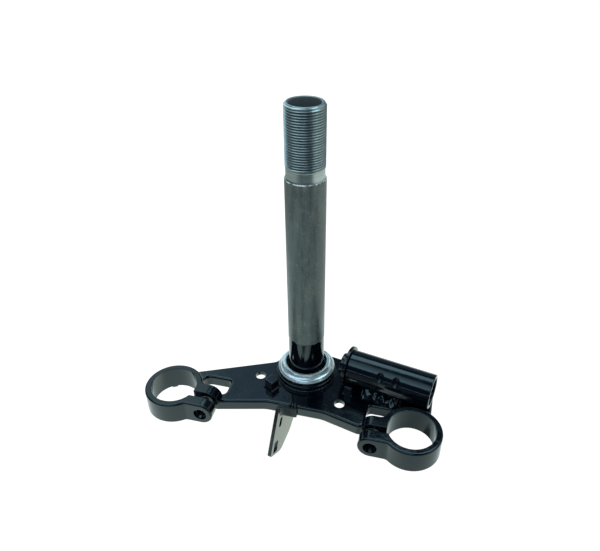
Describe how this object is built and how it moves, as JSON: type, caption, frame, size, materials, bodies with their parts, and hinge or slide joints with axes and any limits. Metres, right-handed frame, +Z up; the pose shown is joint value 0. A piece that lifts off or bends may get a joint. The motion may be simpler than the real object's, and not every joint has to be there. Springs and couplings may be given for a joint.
{
  "type": "motorcycle triple clamp",
  "caption": "Welded lower fork yoke with a threaded steering stem, split fork clamps on a pressed plate, a steering lock tube and a slotted cable bracket.",
  "frame": {"origin": "on the stem axis where the plain shank leaves the collar", "axes": "+Z up the steering stem, +X towards the steering lock tube's side, -Y to the front, where the fork clamps and the cable bracket are"},
  "size_m": [0.2002, 0.0918, 0.2379],
  "materials": {
    "gloss_black_paint": "gloss",
    "bare_steel": "oiled, turned",
    "bright_race": "polished zinc"
  },
  "bodies": {
    "root": {"steering_stem": "bare_steel", "stem_collar": "gloss_black_paint", "bearing_race": "bright_race", "yoke_plate": "gloss_black_paint", "fork_clamp_left": "gloss_black_paint", "fork_clamp_right": "gloss_black_paint", "steering_stop_left": "gloss_black_paint", "steering_stop_right": "gloss_black_paint", "lock_tube": "gloss_black_paint", "lock_bolt_guide": "gloss_black_paint", "lock_saddle": "gloss_black_paint", "cable_bracket": "gloss_black_paint", "stem_weld": "gloss_black_paint", "collar_weld": "gloss_black_paint", "clamp_weld_left": "gloss_black_paint", "clamp_weld_right": "gloss_black_paint", "lock_welds": "gloss_black_paint", "bracket_weld": "gloss_black_paint"}
  },
  "joints": []
}
